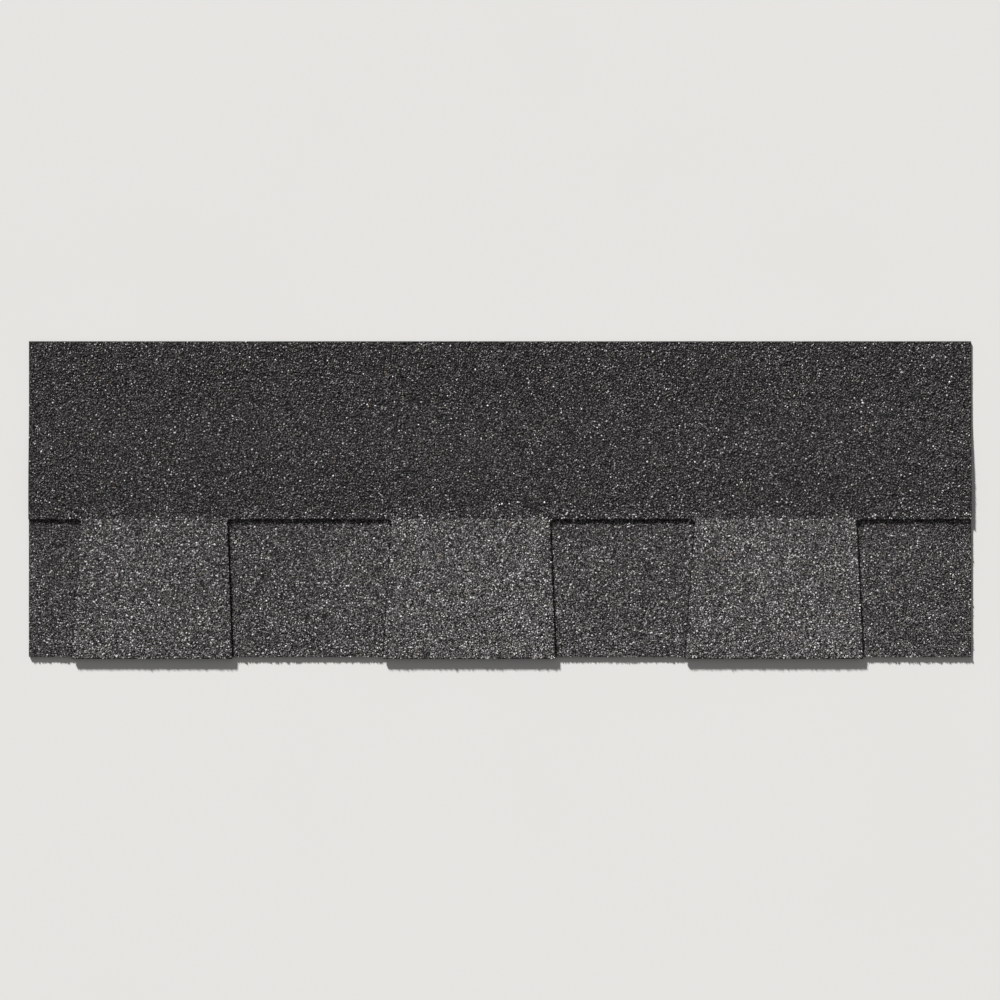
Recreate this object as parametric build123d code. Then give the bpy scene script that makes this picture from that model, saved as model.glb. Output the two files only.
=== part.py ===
from build123d import *
import os

# One laminated asphalt shingle, lying flat with its weather face up. Sizes are in millimetres.
# +X runs along the shingle, +Y from the butt edge to the top edge, and +Z out of the weather face.
# While it is modelled, X starts at the left-hand end, Y at the butt edge and Z at the floor.

# Whole shingle
length = 1000.0  # end to end
height = 337.0  # butt edge to top edge
exposure = 143.0  # height of the part that stays in view once the next course is laid

# Top ply, whose lower part is cut into teeth
overlay_thickness = 2.6
cutout_reach = 5.0  # how far the cutouts run up past the exposure
cutout_corner_radius = 4.0
drape_run = 95.0  # length over which the headlap sinks from the backer to the floor

# The cutter's pattern repeats along the sheet, and the sheet is then cut to length.
# Each row is one tooth: the space before it and its width, both along the butt edge, then how far
# its left and its right side lean inwards from the butt up to the top of the cutout.
cutter_pattern = [
    (161.0, 170.0, 10.0, 5.0),
    (160.0, 183.0, 9.0, 6.0),
    (137.0, 189.0, 11.0, 7.0),
]
end_trim = 115.0  # part of the pattern's first space that is lost at the left-hand end

# Lower ply, which shows between the teeth
backer_thickness = 2.4
backer_height = 176.0
butt_setback = 2.0  # the backer's butt edge stands this far behind the teeth

# Asphalt beads that bond the two plies
bead_thickness = 0.4
bead_width = 7.0
bead_end_inset = 9.0  # from a bead's end to the side of its tooth or the end of the sheet
tooth_bead_heights = [24.0, 86.0]  # centres of the beads under the teeth, above the butt edge
bond_bead_inset = 7.0  # centres of the two long beads, inside the edges of the lap

# Dashes of sealant under the backer, which stick the shingle to the course below
sealant_thickness = 0.8
sealant_width = 12.0
sealant_offset = 20.0  # centre line, above the butt edge
dash_length = 70.0
dash_gap = 20.0
dash_end_margin = 15.0  # least distance from a dash to the end of the sheet

# Film under the headlap, which keeps the next shingle's sealant from sticking in the bundle
film_thickness = 0.1
film_width = 30.0

# Levels above the floor, from the underside of each piece up
backer_level = sealant_thickness
bead_level = backer_level + backer_thickness
overlay_level = bead_level + bead_thickness
headlap_level = film_thickness

# Heights above the butt edge
cutout_top = exposure + cutout_reach
backer_top_edge = butt_setback + backer_height


def tooth_sides():
    """Butt position and inward lean of each tooth's left and right side, from left to right."""
    teeth = []
    x = -end_trim
    while x < length:
        for space, width, left_lean, right_lean in cutter_pattern:
            left = x + space
            x = left + width
            teeth.append((left, left_lean, x, right_lean))
    return teeth


def overlay_sheet():
    """Full-height ply: a section that steps down off the backer, with the spaces cut out of it."""
    lift = overlay_level + overlay_thickness / 2
    rest = headlap_level + overlay_thickness / 2
    drape_start = (backer_top_edge, lift)
    drape_middle = (backer_top_edge + drape_run / 2, (lift + rest) / 2)
    drape_end = (backer_top_edge + drape_run, rest)
    with BuildPart() as sheet:
        with BuildSketch(Plane.YZ):
            with BuildLine() as middle_line:
                Line((0, lift), drape_start)
                fall = TangentArc(drape_start, drape_middle, tangent=(1, 0))
                TangentArc(drape_middle, drape_end, tangent=fall % 1)
                Line(drape_end, (height, rest))
            trace(middle_line.line, overlay_thickness)
        extrude(amount=length)
        with BuildSketch(Plane.XY.offset(overlay_level)) as spaces:
            side, lean = -end_trim, 0.0
            for left, left_lean, right, right_lean in tooth_sides():
                with BuildLine():
                    Polyline(
                        (side, 0),
                        (side - lean, cutout_top),
                        (left + left_lean, cutout_top),
                        (left, 0),
                        close=True,
                    )
                make_face()
                side, lean = right, right_lean
            inner = [v for v in spaces.vertices() if v.Y > cutout_top / 2]
            fillet(inner, cutout_corner_radius)
        extrude(amount=overlay_thickness, mode=Mode.SUBTRACT)
    return sheet.part


def backer_strip():
    """Plain strip under the teeth, from just behind the butt edge to above the cutouts."""
    return Pos(0, butt_setback, backer_level) * Box(
        length, backer_height, backer_thickness, align=Align.MIN
    )


def bead(start, end, centre):
    """One bead between the plies, from start to end along X, with its centre line at a height."""
    return Pos((start + end) / 2, centre, bead_level) * Box(
        end - start, bead_width, bead_thickness, align=(Align.CENTER, Align.CENTER, Align.MIN)
    )


def laminating_beads():
    """Two long beads in the lap above the cutouts, and short ones under every tooth."""
    beads = [
        bead(bead_end_inset, length - bead_end_inset, centre)
        for centre in (cutout_top + bond_bead_inset, backer_top_edge - bond_bead_inset)
    ]
    for left, left_lean, right, right_lean in tooth_sides():
        for centre in tooth_bead_heights:
            rise = centre / cutout_top
            start = max(left + left_lean * rise, 0) + bead_end_inset
            end = min(right - right_lean * rise, length) - bead_end_inset
            if end > start:
                beads.append(bead(start, end, centre))
    return Compound(beads)


def sealant_dashes():
    """Row of round-ended dashes, centred along the shingle."""
    pitch = dash_length + dash_gap
    count = int((length - 2 * dash_end_margin + dash_gap) // pitch)
    with BuildPart() as row:
        with BuildSketch():
            with Locations((length / 2, sealant_offset)):
                with GridLocations(pitch, 1, count, 1):
                    SlotOverall(dash_length, sealant_width)
        extrude(amount=sealant_thickness)
    return row.part


def release_film():
    """Strip that lies where the sealant of the next shingle meets it when they are packed head to butt."""
    return Pos(0, height - sealant_offset, 0) * Box(
        length, film_width, film_thickness, align=(Align.MIN, Align.CENTER, Align.MIN)
    )


pieces = {
    "overlay_sheet": overlay_sheet(),
    "backer_strip": backer_strip(),
    "laminating_beads": laminating_beads(),
    "sealant_dashes": sealant_dashes(),
    "release_film": release_film(),
}

# The part's origin is on the floor, under the middle of the shingle.
os.makedirs("parts", exist_ok=True)
for name, piece in pieces.items():
    export_step(Pos(-length / 2, -height / 2, 0) * piece, f"parts/{name}.step")
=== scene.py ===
import math

import bpy
import numpy as np
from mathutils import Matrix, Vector
from mathutils.bvhtree import BVHTree


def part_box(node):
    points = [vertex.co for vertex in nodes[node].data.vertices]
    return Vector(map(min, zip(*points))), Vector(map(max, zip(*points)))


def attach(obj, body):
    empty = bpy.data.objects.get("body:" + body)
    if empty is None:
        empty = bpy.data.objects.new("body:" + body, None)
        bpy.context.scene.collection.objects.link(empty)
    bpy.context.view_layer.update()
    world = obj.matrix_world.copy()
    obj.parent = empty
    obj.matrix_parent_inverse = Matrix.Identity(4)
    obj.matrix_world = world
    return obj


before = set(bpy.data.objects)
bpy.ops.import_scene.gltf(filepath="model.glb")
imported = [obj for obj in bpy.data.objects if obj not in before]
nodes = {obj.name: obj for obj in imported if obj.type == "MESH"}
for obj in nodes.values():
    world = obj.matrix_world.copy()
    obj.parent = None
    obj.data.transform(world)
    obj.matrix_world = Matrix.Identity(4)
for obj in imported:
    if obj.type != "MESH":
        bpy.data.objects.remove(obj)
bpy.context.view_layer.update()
mm = 0.001
print("frame loaded:", ", ".join(sorted(nodes)))

# Places read off the frame
sheetLow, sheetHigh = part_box("overlay_sheet")
backerLow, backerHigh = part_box("backer_strip")
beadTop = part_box("laminating_beads")[1].z
leftEnd = sheetLow.x
rightEnd = sheetHigh.x
buttEdge = sheetLow.y
topEdge = sheetHigh.y
lapEdge = backerHigh.y  # where the overlay starts to sink off the backer
toothTop = sheetHigh.z
backerTop = backerHigh.z
plyThickness = toothTop - beadTop
headlapTop = sheetLow.z + plyThickness
near = 0.01 * mm  # corners this near to a level lie on it
clearOfLap = 2 * mm  # keeps the lap's own edge out of the cutouts
sheetCorners = [vertex.co for vertex in nodes["overlay_sheet"].data.vertices]
cutTop = max(c.y for c in sheetCorners if c.y < lapEdge - clearOfLap and c.z > backerTop)
drapeEnd = min(c.y for c in sheetCorners if abs(c.z - headlapTop) < near)
print("cutouts end", round((cutTop - buttEdge) / mm, 1), "mm above the butt edge")
print("the headlap lies flat from", round((drapeEnd - buttEdge) / mm, 1), "mm")


# A socket that takes part in shader maths
class Wire:
    def __init__(self, shading, socket):
        self.shading = shading
        self.socket = socket

    def maths(self, operation, *values):
        return self.shading.add("ShaderNodeMath", {"operation": operation}, dict(enumerate(values)))

    def __add__(self, other):
        return self.maths("ADD", self, other)

    __radd__ = __add__

    def __sub__(self, other):
        return self.maths("SUBTRACT", self, other)

    def __rsub__(self, other):
        return self.maths("SUBTRACT", other, self)

    def __mul__(self, other):
        return self.maths("MULTIPLY", self, other)

    __rmul__ = __mul__

    def __gt__(self, other):
        return self.maths("GREATER_THAN", self, other)

    def __lt__(self, other):
        return self.maths("LESS_THAN", self, other)

    def __abs__(self):
        return self.maths("ABSOLUTE", self)

    def larger(self, other):
        return self.maths("MAXIMUM", self, other)

    # 0 below low, 1 above high, smooth between
    def rise(self, low, high):
        settings = {"interpolation_type": "SMOOTHSTEP"}
        values = {"Value": self, "From Min": low, "From Max": high}
        return self.shading.add("ShaderNodeMapRange", settings, values)


# A node tree under construction
class Shading:
    def __init__(self, tree):
        self.tree = tree

    # Any node: its settings first, then the values or wires of its sockets
    def add(self, kind, settings=None, inputs=None, output=0):
        node = self.tree.nodes.new(kind)
        for key, value in (settings or {}).items():
            if key == "stops":
                self.setStops(node.color_ramp, value)
            else:
                setattr(node, key, value)
        for key, value in (inputs or {}).items():
            self.feed(node.inputs[key], value)
        if isinstance(output, list):
            return [Wire(self, node.outputs[name]) for name in output]
        return Wire(self, node.outputs[output])

    def feed(self, socket, value):
        if isinstance(value, Wire):
            self.tree.links.new(value.socket, socket)
        else:
            socket.default_value = value

    # Each colour holds from its own place to the next one's
    def setStops(self, ramp, stops):
        ramp.interpolation = "CONSTANT"
        while len(ramp.elements) < len(stops):
            ramp.elements.new(1.0)
        for element, (place, colour) in zip(ramp.elements, stops):
            element.position = place
            element.color = opaque(colour)

    # The colour of the stop that a number falls in
    def chosen(self, number, stops):
        return self.add("ShaderNodeValToRGB", {"stops": stops}, {"Fac": number}, "Color")

    # Blends two colours, whose sockets on a Mix node are 6 and 7
    def blend(self, share, first, second, way="MIX"):
        settings = {"data_type": "RGBA", "blend_type": way}
        inputs = {0: share, 6: opaque(first), 7: opaque(second)}
        return self.add("ShaderNodeMix", settings, inputs, 2)

    # A colour made darker or lighter by a number
    def shaded(self, colour, level):
        grey = self.add("ShaderNodeCombineColor", None, {0: level, 1: level, 2: level}, "Color")
        return self.blend(1.0, colour, grey, "MULTIPLY")

    def channels(self, colour):
        return self.add("ShaderNodeSeparateColor", None, {0: colour}, ["Red", "Green"])

    def along(self, axis, vector):
        return self.add("ShaderNodeSeparateXYZ", None, {0: vector}, axis)

    def noise(self, place, scale, detail=2.0, output="Fac"):
        inputs = {"Vector": place, "Scale": scale, "Detail": detail}
        return self.add("ShaderNodeTexNoise", None, inputs, output)


# A material under construction
class Finish(Shading):
    def __init__(self, name):
        self.material = bpy.data.materials.new(name)
        self.material.use_nodes = True
        super().__init__(self.material.node_tree)
        self.shader = self.tree.nodes["Principled BSDF"]

    def place(self):
        return self.add("ShaderNodeTexCoord", output="Object")

    def facing(self):
        return self.along("Z", self.add("ShaderNodeTexCoord", output="Normal"))

    def attribute(self, name):
        return self.add("ShaderNodeAttribute", {"attribute_name": name}, output="Fac")

    def paint(self, colour, roughness, specular=None, height=None, relief=0.0):
        self.feed(self.shader.inputs["Base Color"], colour)
        self.feed(self.shader.inputs["Roughness"], roughness)
        if specular is not None:
            self.shader.inputs["Specular IOR Level"].default_value = specular
        if height is not None:
            inputs = {"Height": height, "Distance": relief, "Strength": 1.0}
            normal = self.add("ShaderNodeBump", None, inputs, "Normal")
            self.feed(self.shader.inputs["Normal"], normal)
        return self.material


def opaque(colour):
    return colour if isinstance(colour, Wire) else (*colour, 1.0)


# The coated stone that the plies are surfaced with: the colour of each kind, then its share of the
# granules where the blend is dark and where it is light
granuleKinds = [
    ((0.027, 0.026, 0.026), 0.16, 0.08),
    ((0.070, 0.066, 0.066), 0.26, 0.15),
    ((0.132, 0.125, 0.124), 0.27, 0.235),
    ((0.214, 0.204, 0.202), 0.15, 0.22),
    ((0.348, 0.333, 0.329), 0.08, 0.165),
    ((0.680, 0.664, 0.656), 0.045, 0.115),
    ((0.278, 0.243, 0.200), 0.015, 0.02),
    ((0.150, 0.136, 0.110), 0.02, 0.015),
]
kindCount = len(granuleKinds)

coatingLook = {
    "shades": 16,  # brightness steps within each kind
    "shadeSpan": (0.7, 1.28),  # brightness of the darkest and lightest step
    "mottleScale": 2600.0,
    "mottle": 0.5,  # how far the brightness varies over a granule
    "roughness": 0.82,  # of the darkest step
    "lightSmoother": 0.3,
    "specular": 0.15,
}
shadeCount = coatingLook["shades"]


def granuleCoating():
    look = coatingLook
    finish = Finish("granuleCoating")
    kind = finish.attribute("granuleKind")
    shade = finish.attribute("granuleShade")
    stops = [(i / kindCount, colour) for i, (colour, _, _) in enumerate(granuleKinds)]
    mottle = finish.noise(finish.place(), look["mottleScale"]) * look["mottle"]
    low, high = look["shadeSpan"]
    level = (shade * (high - low) + low) * (mottle + (1 - look["mottle"] / 2))
    colour = finish.shaded(finish.chosen(kind, stops), level)
    return finish.paint(colour, look["roughness"] - look["lightSmoother"] * shade, look["specular"])


sheetAsphalt = (0.006, 0.006, 0.006)

# A ply's face between and under the loose granules: more of them, sunk into the asphalt, and darkened as
# painted shade between the loose ones
faceLook = {
    "grain": 1.25 * mm,  # size of these granules
    "bends": 1.6,  # bends in their outlines, for each grain size
    "bend": 0.3,  # how deep the bends are, in grain sizes
    "joint": (0.03, 0.14),  # asphalt shows up to the first, and all is stone from the second
    "shadeSpan": (0.65, 1.35),
    "paintedGapShade": 0.28,  # painted shade: how bright they are beside the loose ones, darkened as if in their shadow
    "roughness": 0.76,  # of the asphalt
    "stoneRougher": 0.16,
    "lightSmoother": 0.08,
    "specular": 0.06,
    "flattest": 0.6,  # height of the flattest beside the tallest
    "relief": 0.35 * mm,
}


# Colour, roughness and height of the face
def sunkenGranules(finish, place, lightShare):
    look = faceLook
    scale = 1 / look["grain"]
    cloud = finish.noise(place, look["bends"] * scale, output="Color")
    depth = {0: cloud, "Scale": look["bend"] / scale}
    bend = finish.add("ShaderNodeVectorMath", {"operation": "SCALE"}, depth)
    bent = finish.add("ShaderNodeVectorMath", {"operation": "ADD"}, {0: place, 1: bend})
    cell = {"Vector": bent, "Scale": scale}
    tint = finish.add("ShaderNodeTexVoronoi", None, cell, "Color")
    edge = finish.add("ShaderNodeTexVoronoi", {"feature": "DISTANCE_TO_EDGE"}, cell, "Distance")
    kind, shade = finish.channels(tint)
    stops = []
    reached = 0.0
    for colour, dark, light in granuleKinds:
        stops.append((reached, colour))
        reached += dark + (light - dark) * lightShare
    low, high = look["shadeSpan"]
    # Painted shade: the sunken granules are darkened as if the loose granules shadowed them
    level = (shade * (high - low) + low) * look["paintedGapShade"]
    stone = edge.rise(*look["joint"])
    colour = finish.blend(stone, sheetAsphalt, finish.shaded(finish.chosen(kind, stops), level))
    roughness = look["roughness"] + look["stoneRougher"] * stone - look["lightSmoother"] * shade
    height = stone * (look["flattest"] + (1 - look["flattest"]) * kind)
    return colour, roughness, height


# Fine sand that keeps the back from sticking, thinner in some patches than in others
backLook = {
    "sand": (0.235, 0.228, 0.215),
    "shadeSpan": (0.45, 1.2),
    "grain": 0.5 * mm,
    "grainEdge": (0.35, 0.75),  # all is sand up to the first, and asphalt from the second
    "cover": 0.66,  # share of the grains that are there
    "coverVaries": 0.5,
    "patchScale": 26.0,
    "patchDetail": 5.0,
    "relief": 0.35,  # beside the face's
}


# Colour and height of the back
def sandedBack(finish, place):
    look = backLook
    grain = {"Vector": place, "Scale": 1 / look["grain"]}
    distance, tint = finish.add("ShaderNodeTexVoronoi", None, grain, ["Distance", "Color"])
    rank, shade = finish.channels(tint)
    patch = finish.noise(place, look["patchScale"], look["patchDetail"])
    cover = look["cover"] + look["coverVaries"] * (patch - 0.5)
    held = (rank < cover) * (1 - distance.rise(*look["grainEdge"]))
    low, high = look["shadeSpan"]
    sand = finish.shaded(look["sand"], low + (high - low) * shade)
    return finish.blend(held, sheetAsphalt, sand), look["relief"] * held


# A cut edge, where the glass mat shows as a thin broken line half-way up
edgeLook = {
    "mat": (0.16, 0.145, 0.12),
    "matLine": (0.15 * mm, 0.4 * mm),  # from its middle to where it fades and to where it ends
    "fibreScale": 900.0,
    "fibres": (0.35, 0.6),
}


# matHeight is how high the mat lies in the lap, and sinking is how far the drape takes it down
def cutEdge(finish, place, matHeight, sinking):
    look = edgeLook
    sunk = finish.along("Y", place).rise(lapEdge, drapeEnd) * sinking
    off = abs(finish.along("Z", place) - matHeight + sunk)
    line = 1 - off.rise(*look["matLine"])
    fibres = finish.noise(place, look["fibreScale"]).rise(*look["fibres"])
    return finish.blend(line * fibres, sheetAsphalt, look["mat"])


# A surface whose normal rises more than this is the face, and one that falls more is the back
facesUp = 0.5
facesDown = -0.5


# One material for the whole of a ply
def plyFinish(name, lightShare, matHeight, sinking):
    finish = Finish(name)
    place = finish.place()
    up = finish.facing()
    face, roughness, faceHeight = sunkenGranules(finish, place, lightShare)
    back, backHeight = sandedBack(finish, place)
    edge = cutEdge(finish, place, matHeight, sinking)
    colour = finish.blend(up > facesUp, edge, face)
    colour = finish.blend(up < facesDown, colour, back)
    height = faceHeight * (up > facesUp) + backHeight * (up < facesDown)
    return finish.paint(colour, roughness, faceLook["specular"], height, faceLook["relief"])


asphaltLook = {
    "colour": (0.009, 0.009, 0.009),
    "speck": (0.03, 0.029, 0.028),
    "speckScale": 1500.0,
    "specks": (0.6, 0.75),
    "rippleScale": 210.0,
    "rippleDetail": 3.0,
    "rippleRougher": 0.2,
    "rippleDepth": 0.25 * mm,
}


def asphaltFinish(name, roughness):
    look = asphaltLook
    finish = Finish(name)
    place = finish.place()
    ripple = finish.noise(place, look["rippleScale"], look["rippleDetail"])
    specks = finish.noise(place, look["speckScale"]).rise(*look["specks"])
    colour = finish.blend(specks, look["colour"], look["speck"])
    roughness = roughness + look["rippleRougher"] * ripple
    return finish.paint(colour, roughness, height=ripple, relief=look["rippleDepth"])


# Milky film with long slack creases, darker where it clings to the asphalt
filmLook = {
    "clinging": (0.18, 0.184, 0.19),
    "loose": (0.31, 0.317, 0.325),
    "drawn": (0.22, 1.0, 1.0),  # the pattern is drawn out along the shingle
    "clingScale": 90.0,
    "clingDetail": 5.0,
    "looseFrom": (0.35, 0.7),
    "creaseScale": 95.0,
    "creaseDetail": 3.0,
    "creaseWidth": 0.06,
    "creaseDepth": 0.15 * mm,
    "roughness": 0.2,
    "looseRougher": 0.25,
}


def filmFinish():
    look = filmLook
    finish = Finish("releaseFilm")
    drawn = finish.add("ShaderNodeMapping", None, {"Vector": finish.place(), "Scale": look["drawn"]})
    crease = finish.noise(drawn, look["creaseScale"], look["creaseDetail"])
    loose = finish.noise(drawn, look["clingScale"], look["clingDetail"])
    colour = finish.blend(loose.rise(*look["looseFrom"]), look["clinging"], look["loose"])
    ridge = 1 - abs(crease - 0.5).rise(0.0, look["creaseWidth"])
    roughness = look["roughness"] + look["looseRougher"] * loose
    return finish.paint(colour, roughness, height=ridge, relief=look["creaseDepth"])


def dress(node, material):
    nodes[node].data.materials.clear()
    nodes[node].data.materials.append(material)


overlayMat = {"matHeight": toothTop - plyThickness / 2, "sinking": toothTop - headlapTop}
backerMat = {"matHeight": (backerLow.z + backerTop) / 2, "sinking": 0.0}
dress("overlay_sheet", plyFinish("overlayFace", lightShare=0.8, **overlayMat))
dress("backer_strip", plyFinish("backerFace", lightShare=0.2, **backerMat))
dress("laminating_beads", asphaltFinish("laminatingAsphalt", roughness=0.4))
dress("sealant_dashes", asphaltFinish("sealantAsphalt", roughness=0.22))
dress("release_film", filmFinish())
print("plies, adhesives and film finished")


# Loose granules, pressed part way into the face
granules = {
    "shapes": 12,
    "base": 0.56,  # radii and height of the block that a shape starts as, beside the granule's width
    "top": 0.44,
    "tall": 0.8,
    "topTurn": math.radians(60),
    "roughen": 0.16,  # how far its corners are knocked about
    "evenness": 0.4,
    "width": 1.48 * mm,  # of a middling granule
    "widthSpan": (0.6, 1.4),  # smallest and largest, as shares of the middling one
    "widthBunch": (2, 2.4),  # how they gather between the two, as a beta distribution
    "stretch": (0.75, 1.25),  # along each axis
    "flatness": 0.9,  # height over width
    "proud": 0.58,  # share of its height that stands out of the face
    "proudSpan": (0.7, 1.3),
    "tilt": 0.7,  # most that one leans, in radians
    "weatherSpacing": 1.47 * mm,  # where the shingle stays in view
    "headlapSpacing": 2.18 * mm,
    "jitter": 0.42,  # most that one stands off its place in the row, in spacings
    "margin": 0.55 * mm,  # from a granule's middle to a cut edge
    "seed": 20,
}
draw = np.random.default_rng(granules["seed"])


# Each shape is a short three-sided block with its top turned against its base, then knocked about
def granuleShape(seed):
    block = {"radius1": granules["base"], "radius2": granules["top"], "depth": granules["tall"]}
    bpy.ops.object.select_all(action="DESELECT")
    bpy.ops.mesh.primitive_cone_add(vertices=3, **block)
    shape = bpy.context.object
    bpy.ops.object.mode_set(mode="EDIT")
    bpy.ops.mesh.select_all(action="DESELECT")
    bpy.ops.object.mode_set(mode="OBJECT")
    for vertex in shape.data.vertices:
        vertex.select = vertex.co.z > 0
    bpy.ops.object.mode_set(mode="EDIT")
    bpy.ops.mesh.select_mode(type="VERT")
    turn = {"value": granules["topTurn"], "orient_axis": "Z", "center_override": (0, 0, 0)}
    bpy.ops.transform.rotate(**turn)
    bpy.ops.mesh.select_all(action="SELECT")
    bpy.ops.transform.vertex_random(offset=granules["roughen"], uniform=granules["evenness"], seed=seed)
    bpy.ops.mesh.convex_hull(use_existing_faces=False, join_triangles=False)
    bpy.ops.mesh.normals_make_consistent(inside=False)
    bpy.ops.object.mode_set(mode="OBJECT")
    corners = np.array([vertex.co for vertex in shape.data.vertices])
    faces = np.array([face.vertices for face in shape.data.polygons])
    bpy.data.meshes.remove(shape.data)
    return corners, faces


shapes = [granuleShape(seed) for seed in range(granules["shapes"])]
shapeCorners = np.stack([corners for corners, _ in shapes])
shapeFaces = np.stack([faces for _, faces in shapes])
print("granule shapes:", len(shapes), "of", shapeFaces.shape[1], "faces")

# The finished faces, for setting the granules on
faceTrees = {}
for node in ("overlay_sheet", "backer_strip"):
    mesh = nodes[node].data
    corners = [vertex.co for vertex in mesh.vertices]
    faceTrees[node] = BVHTree.FromPolygons(corners, [face.vertices for face in mesh.polygons])
aboveAll = 50 * mm
down = Vector((0, 0, -1))


# Height of a node's face under a point, or None past its edge
def faceUnder(node, x, y):
    place = faceTrees[node].ray_cast(Vector((x, y, aboveAll)), down)[0]
    return None if place is None else place.z


# Which ply shows at a point
def shows(x, y):
    return "backer_strip" if faceUnder("overlay_sheet", x, y) is None else "overlay_sheet"


# The colour blend runs down each sheet in drops: where along the shingle each starts, in metres, and how
# light it is
blendDrops = {
    "overlay_sheet": [(-0.50, 0.62), (-0.36, 0.50), (-0.22, 0.85), (0.03, 1.00), (0.14, 0.72), (0.29, 0.82)],
    "backer_strip": [(-0.50, -0.10), (-0.30, 0.12), (-0.19, 0.34), (0.02, 0.20), (0.14, 0.02), (0.37, -0.06)],
}
blendLook = {
    "dropFade": 14 * mm,  # length over which one drop gives way to the next
    "wander": 22 * mm,  # how far the place where it does so wanders
    "wanderHills": (30 * mm, 3),  # how far apart the hills are, and their seed
    "largeHills": (26 * mm, 5),
    "smallHills": (11 * mm, 6),
    "largeShare": 0.7,
    "patch": 0.32,  # how far the hills vary the tone
    "shadowLineAndPaintedShade": 0.3,  # how much darker the spaces are at their tops: partly the shingle's own shadow-line granules, partly painted shade below the overlay's cut edge
    "shadowLineAndPaintedShadeHeight": 30 * mm,
    "headlap": -0.25,  # tone of the headlap
    "headlapFade": 14 * mm,
    "toneSpan": (-0.4, 1.4),
    "leastShare": 0.002,  # of any kind of granule
}
hillGrid = 400
hillMargin = 2  # cells left free at the grid's low ends


# Smooth random field, from 0 to 1, with hills about this far apart
def hills(x, y, apart, seed):
    grid = np.random.default_rng(seed).random((hillGrid, hillGrid))
    u = (x - leftEnd) / apart + hillMargin
    v = (y - buttEdge) / apart + hillMargin
    i = u.astype(int)
    j = v.astype(int)
    p = u - i
    q = v - j
    p = p * p * (3 - 2 * p)  # smoothed, so that the grid doesn't show
    q = q * q * (3 - 2 * q)
    low = grid[i, j] * (1 - p) + grid[i + 1, j] * p
    high = grid[i, j + 1] * (1 - p) + grid[i + 1, j + 1] * p
    return low * (1 - q) + high * q


# How light the blend is at these points: about 0 where it is dark, and 1 where it is light
def toneOf(node, x, y):
    look = blendLook
    wander = (hills(x, y, *look["wanderHills"]) - 0.5) * look["wander"]
    before = blendDrops[node][0][1]
    tone = np.full(len(x), before)
    for start, lightness in blendDrops[node][1:]:
        share = np.clip((x + wander - start) / look["dropFade"] + 0.5, 0, 1)
        tone = tone + share * (lightness - before)
        before = lightness
    large = hills(x, y, *look["largeHills"]) * look["largeShare"]
    small = hills(x, y, *look["smallHills"]) * (1 - look["largeShare"])
    return tone + (large + small - 0.5) * look["patch"]


def toothTone(x, y):
    return toneOf("overlay_sheet", x, y)


def spaceTone(x, y):
    # Darker towards the spaces' tops: partly the shingle's own shadow-line granules, partly painted shade
    # below the overlay's cut edge
    band = np.clip((y - cutTop) / blendLook["shadowLineAndPaintedShadeHeight"] + 1, 0, 1)
    return toneOf("backer_strip", x, y) - blendLook["shadowLineAndPaintedShade"] * band


def headlapTone(x, y):
    fade = np.clip((y - cutTop) / blendLook["headlapFade"], 0, 1)
    return toneOf("overlay_sheet", x, y) * (1 - fade) + blendLook["headlap"] * fade


# Jittered rows of points over a strip of the shingle
def scatter(low, high, spacing):
    jitter = granules["jitter"]
    rows = np.arange(low, high, spacing * math.sqrt(3) / 2)
    columns = np.arange(leftEnd, rightEnd, spacing)
    x, y = np.meshgrid(columns, rows)
    x = x + np.where(np.arange(len(rows)) % 2, spacing / 2, 0)[:, None]
    x = x + draw.uniform(-jitter, jitter, x.shape) * spacing
    y = y + draw.uniform(-jitter, jitter, y.shape) * spacing
    return x.ravel(), y.ravel()


# Points of a strip, sorted by the ply that shows there, with those near a cut edge left out
def settled(low, high, spacing):
    found = {"overlay_sheet": [], "backer_strip": []}
    edge = granules["margin"]
    for x, y in zip(*scatter(low, high, spacing)):
        if not (leftEnd + edge < x < rightEnd - edge and buttEdge + edge < y < topEdge - edge):
            continue
        node = shows(x, y)
        around = [shows(x + dx, y + dy) for dx, dy in ((edge, 0), (-edge, 0), (0, edge), (0, -edge))]
        if any(other != node for other in around):
            continue
        height = faceUnder(node, x, y)
        if height is not None:
            found[node].append((x, y, height))
    return {node: np.array(points) for node, points in found.items()}


# Turning matrices, one for each granule: a random heading and a lean
def turns(count):
    tilt = granules["tilt"]
    heading = draw.uniform(0, 2 * math.pi, count)
    leanX = draw.uniform(-tilt, tilt, count)
    leanY = draw.uniform(-tilt, tilt, count)
    zero = np.zeros(count)
    one = np.ones(count)
    sinX, cosX = np.sin(leanX), np.cos(leanX)
    sinY, cosY = np.sin(leanY), np.cos(leanY)
    sinZ, cosZ = np.sin(heading), np.cos(heading)
    aboutX = [one, zero, zero, zero, cosX, -sinX, zero, sinX, cosX]
    aboutY = [cosY, zero, sinY, zero, one, zero, -sinY, zero, cosY]
    aboutZ = [cosZ, -sinZ, zero, sinZ, cosZ, zero, zero, zero, one]
    x, y, z = (np.stack(terms, 1).reshape(-1, 3, 3) for terms in (aboutX, aboutY, aboutZ))
    return x @ y @ z


# Corners and faces of a granule at each point, each of its own shape, size and turn
def strewn(points):
    count = len(points)
    x, y, z = points.T
    low, high = granules["widthSpan"]
    width = granules["width"] * (low + (high - low) * draw.beta(*granules["widthBunch"], count))
    shapeOf = draw.integers(0, len(shapes), count)
    stretch = draw.uniform(*granules["stretch"], (count, 1, 3)) * (1, 1, granules["flatness"])
    corners = shapeCorners[shapeOf] * stretch * width[:, None, None]
    corners = np.einsum("nij,nkj->nki", turns(count), corners)
    crest = corners[:, :, 2].max(1)
    lowest = corners[:, :, 2].min(1)
    sunk = z - crest + (crest - lowest) * granules["proud"] * draw.uniform(*granules["proudSpan"], count)
    corners += np.stack([x, y, sunk], 1)[:, None, :]
    return corners, shapeFaces[shapeOf]


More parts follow.
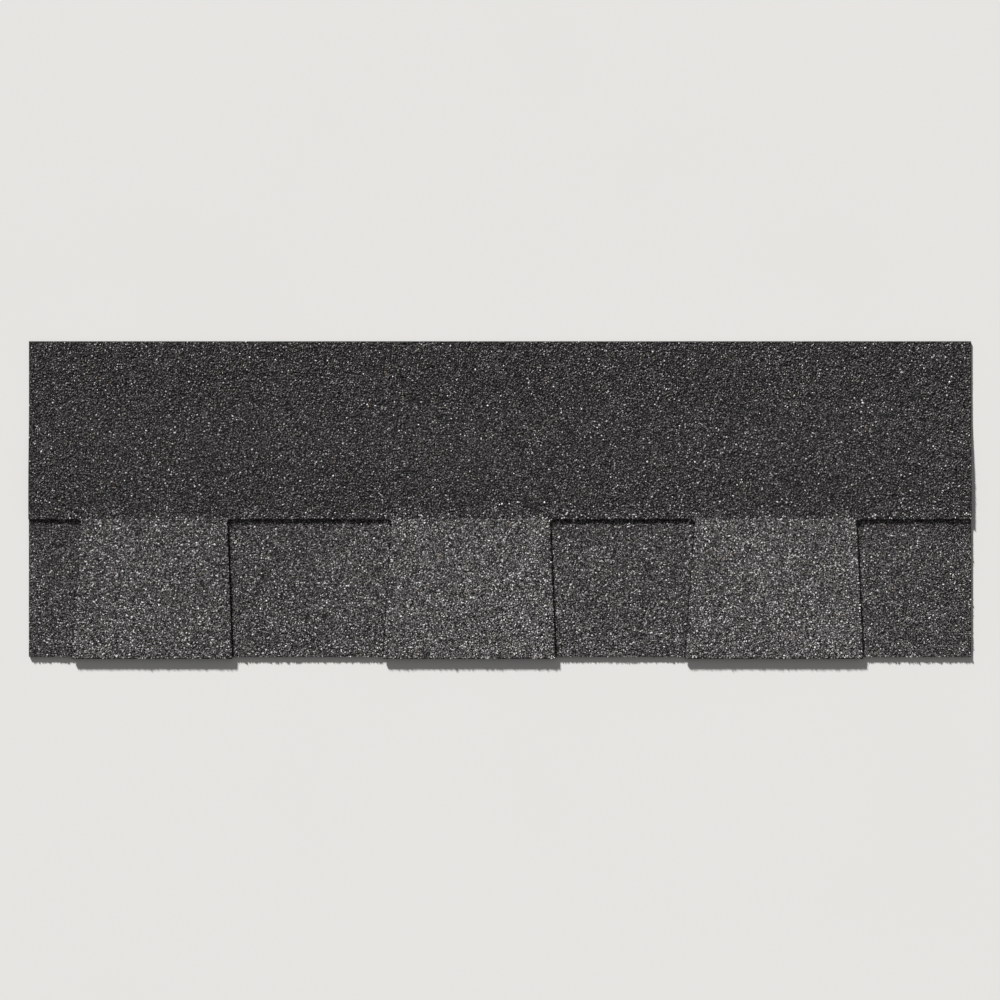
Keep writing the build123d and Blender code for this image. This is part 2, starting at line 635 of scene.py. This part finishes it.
# Which kind of stone each granule is, drawn by how light the blend is there
def kindsFor(tone):
    dark = np.array([share for _, share, _ in granuleKinds])
    light = np.array([share for _, _, share in granuleKinds])
    chance = dark + np.outer(np.clip(tone, *blendLook["toneSpan"]), light - dark)
    chance = np.clip(chance, blendLook["leastShare"], None)
    ladder = np.cumsum(chance / chance.sum(1)[:, None], 1)
    kind = (draw.random(len(tone))[:, None] > ladder).sum(1)
    return np.minimum(kind, kindCount - 1)


spotCorners = np.array([(-0.5, -0.3), (0.5, -0.3), (0.0, 0.6)])
spotSize = 0.12  # beside a cell of the map, so that no colour runs into the next


# The map that colours are baked to, where all granules of one kind and shade have the same small spot
def mapGranules(mesh, kind, shade, facesEach):
    cell = np.stack([(kind + 0.5) / kindCount, (shade + 0.5) / shadeCount], 1)
    spot = spotCorners * spotSize * (1 / kindCount, 1 / shadeCount)
    laid = np.repeat(cell, facesEach * 3, 0) + np.tile(spot, (len(kind) * facesEach, 1))
    layer = mesh.uv_layers.new(name="OFBake")
    layer.uv.foreach_set("vector", laid.astype(np.float32).ravel())


# One piece of granules at these points
def layGranules(name, points, tone):
    corners, faces = strewn(points)
    kind = kindsFor(tone)
    count, cornersEach, _ = corners.shape
    shade = draw.integers(0, shadeCount, count)
    facesEach = faces.shape[1]
    faces = faces + (np.arange(count) * cornersEach)[:, None, None]

    mesh = bpy.data.meshes.new(name)
    mesh.vertices.add(count * cornersEach)
    mesh.vertices.foreach_set("co", corners.astype(np.float32).ravel())
    mesh.loops.add(count * facesEach * 3)
    mesh.loops.foreach_set("vertex_index", faces.astype(np.int32).ravel())
    mesh.polygons.add(count * facesEach)
    mesh.polygons.foreach_set("loop_start", np.arange(0, count * facesEach * 3, 3, dtype=np.int32))
    mesh.update(calc_edges=True)
    mesh.shade_flat()
    for attribute, step, steps in (("granuleKind", kind, kindCount), ("granuleShade", shade, shadeCount)):
        values = np.repeat((step + 0.5) / steps, cornersEach)
        layer = mesh.attributes.new(attribute, "FLOAT", "POINT")
        layer.data.foreach_set("value", values.astype(np.float32))
    mapGranules(mesh, kind, shade, facesEach)
    mesh.materials.append(coating)

    piece = bpy.data.objects.new(name, mesh)
    bpy.context.scene.collection.objects.link(piece)
    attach(piece, "root")
    print(name, count, "granules", count * facesEach, "triangles")


# A strip's granules, in pieces side by side that are each small enough for an STL file
def layStrip(name, points, toneAt, pieceCount):
    x, y, _ = points.T
    tone = toneAt(x, y)
    bounds = np.linspace(leftEnd, rightEnd, pieceCount + 1)
    for i in range(pieceCount):
        inside = (x >= bounds[i]) & (x < bounds[i + 1])
        layGranules(f"{name}_{i + 1}", points[inside], tone[inside])


coating = granuleCoating()
weather = settled(buttEdge, cutTop, granules["weatherSpacing"])
layStrip("tooth_granules", weather["overlay_sheet"], toothTone, 2)
layStrip("space_granules", weather["backer_strip"], spaceTone, 2)
headlap = settled(cutTop, topEdge, granules["headlapSpacing"])
layStrip("headlap_granules", headlap["overlay_sheet"], headlapTone, 3)


# Floor, lights and camera
studio = {
    "floor": (0.80, 0.79, 0.77),
    "floorSize": 9.0,
    "floorRoughness": 0.9,
    "cloudScale": 3.0,
    "cloudShade": 0.97,  # brightness of the floor's faint clouds
    "keyStrength": 6.1,
    "keyHeight": math.radians(25),
    "keySide": math.radians(25),  # from straight up the picture, round to the left
    "keyAngle": math.radians(6),
    "fill": 0.18,
    "fillColour": (1.0, 1.0, 1.0),
    "lens": 85.0,
    "pictureWidth": 1.06,  # width of the floor that the picture spans
}


def makeFloor():
    bpy.ops.object.select_all(action="DESELECT")
    bpy.ops.mesh.primitive_plane_add(size=studio["floorSize"], location=(0, 0, 0))
    floor = bpy.context.object
    floor.name = "floor"
    finish = Finish("paleFloor")
    clouded = [channel * studio["cloudShade"] for channel in studio["floor"]]
    cloud = finish.noise(finish.place(), studio["cloudScale"])
    colour = finish.blend(cloud, studio["floor"], clouded)
    floor.data.materials.append(finish.paint(colour, studio["floorRoughness"], specular=0.0))


def makeKey():
    lamp = bpy.data.lights.new("key", "SUN")
    lamp.energy = studio["keyStrength"]
    lamp.angle = studio["keyAngle"]
    key = bpy.data.objects.new("key", lamp)
    side = studio["keySide"]
    height = studio["keyHeight"]
    flat = math.cos(height)
    towards = Vector((math.sin(side) * flat, -math.cos(side) * flat, -math.sin(height)))
    key.rotation_euler = towards.to_track_quat("-Z", "Y").to_euler()
    bpy.context.scene.collection.objects.link(key)


# The camera and reflections see the floor's colour, and everything else gets the fill
def makeWorld():
    world = bpy.data.worlds.new("studio")
    world.use_nodes = True
    bpy.context.scene.world = world
    tree = world.node_tree
    tree.nodes.remove(tree.nodes["Background"])
    shading = Shading(tree)
    rays = ["Is Camera Ray", "Is Glossy Ray", "Is Transmission Ray"]
    camera, glossy, clear = shading.add("ShaderNodeLightPath", output=rays)
    light = {"Color": opaque(studio["fillColour"]), "Strength": studio["fill"]}
    fill = shading.add("ShaderNodeBackground", None, light)
    seen = shading.add("ShaderNodeBackground", None, {"Color": opaque(studio["floor"])})
    share = camera.larger(glossy).larger(clear)
    mixed = shading.add("ShaderNodeMixShader", None, {0: share, 1: fill, 2: seen})
    shading.feed(tree.nodes["World Output"].inputs["Surface"], mixed)


def makeCamera():
    lens = bpy.data.cameras.new("camera")
    lens.lens = studio["lens"]
    camera = bpy.data.objects.new("camera", lens)
    away = studio["pictureWidth"] * studio["lens"] / lens.sensor_width
    camera.location = (0, 0, toothTop + away)
    bpy.context.scene.collection.objects.link(camera)
    bpy.context.scene.camera = camera


makeFloor()
makeKey()
makeWorld()
makeCamera()
bpy.context.scene.view_settings.view_transform = "Standard"
print("floor, lights and camera set")
